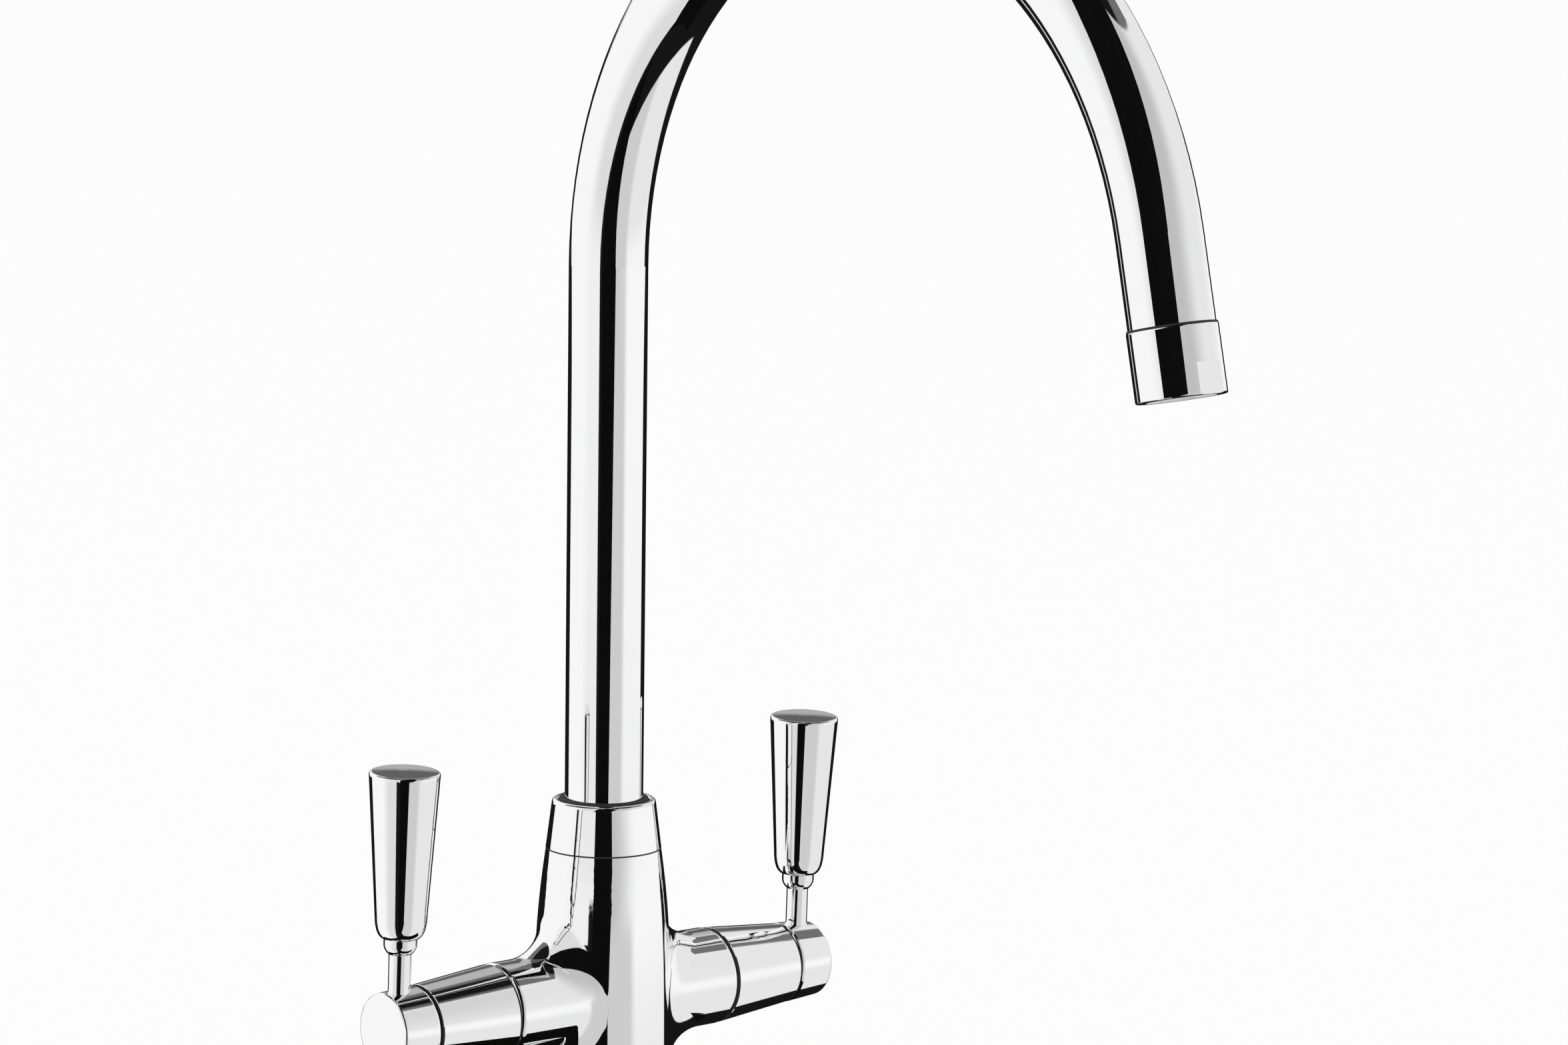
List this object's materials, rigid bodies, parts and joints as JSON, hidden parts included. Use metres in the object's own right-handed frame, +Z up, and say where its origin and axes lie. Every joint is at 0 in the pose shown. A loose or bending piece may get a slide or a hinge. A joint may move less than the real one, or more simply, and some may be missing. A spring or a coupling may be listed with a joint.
{
  "type": "two handle kitchen faucet",
  "caption": "Deck-mounted kitchen mixer tap with a tall swan-neck swivel spout and two quarter-turn lever valves on side arms.",
  "frame": {"origin": "centre of the foot on the deck plane, on the axis of the tower and of the spout's swivel", "axes": "+Z up along the tower; the spout reaches towards -Y, the user's side; the valve arms lie along +X and -X"},
  "size_m": [0.1618, 0.2605, 0.4476],
  "materials": {
    "chrome": "polished chrome plate on brass",
    "brass": "machined brass",
    "steel": "zinc-plated steel",
    "rubber": "moulded black rubber",
    "ceramic": "lapped ceramic",
    "acetal": "moulded acetal"
  },
  "bodies": {
    "body": {"base_flange": "chrome", "base_seal": "rubber", "body_casting": "chrome", "clamp_plate": "steel", "deck_gasket": "rubber", "fixing_nut": "brass", "fixing_stud": "steel", "left_fixed_disc": "ceramic", "left_seat_seal": "rubber", "left_valve_body": "brass", "left_valve_locknut": "brass", "left_valve_sleeve": "chrome", "lower_glide_washer": "acetal", "right_fixed_disc": "ceramic", "right_seat_seal": "rubber", "right_valve_body": "brass", "right_valve_locknut": "brass", "right_valve_sleeve": "chrome", "spout_collar": "chrome"},
    "spout": {"aerator_cartridge": "acetal", "aerator_housing": "chrome", "aerator_screen": "acetal", "aerator_washer": "rubber", "outlet_nipple": "brass", "spout_foot": "brass", "spout_o_rings": "rubber", "spout_tube": "chrome", "upper_glide_washer": "acetal"},
    "right_lever": {"right_handle_cap": "chrome", "right_lever_ferrule": "chrome", "right_lever_grip": "chrome", "right_lever_stem": "chrome", "right_moving_disc": "ceramic", "right_spindle_clip": "steel", "right_spindle_o_rings": "rubber", "right_valve_spindle": "brass"},
    "left_lever": {"left_handle_cap": "chrome", "left_lever_ferrule": "chrome", "left_lever_grip": "chrome", "left_lever_stem": "chrome", "left_moving_disc": "ceramic", "left_spindle_clip": "steel", "left_spindle_o_rings": "rubber", "left_valve_spindle": "brass"}
  },
  "joints": [
    {"name": "spout_swivel", "type": "hinge", "parent": "body", "child": "spout", "pos_m": [0, 0, 0.0795], "axis": [0, 0, 1], "continuous": true},
    {"name": "right_lever_turn", "type": "hinge", "parent": "body", "child": "right_lever", "pos_m": [0.0712, 0, 0.05], "axis": [1, 0, 0], "range_deg": [0, 90]},
    {"name": "left_lever_turn", "type": "hinge", "parent": "body", "child": "left_lever", "pos_m": [-0.0712, 0, 0.05], "axis": [1, 0, 0], "range_deg": [0, 90]}
  ]
}
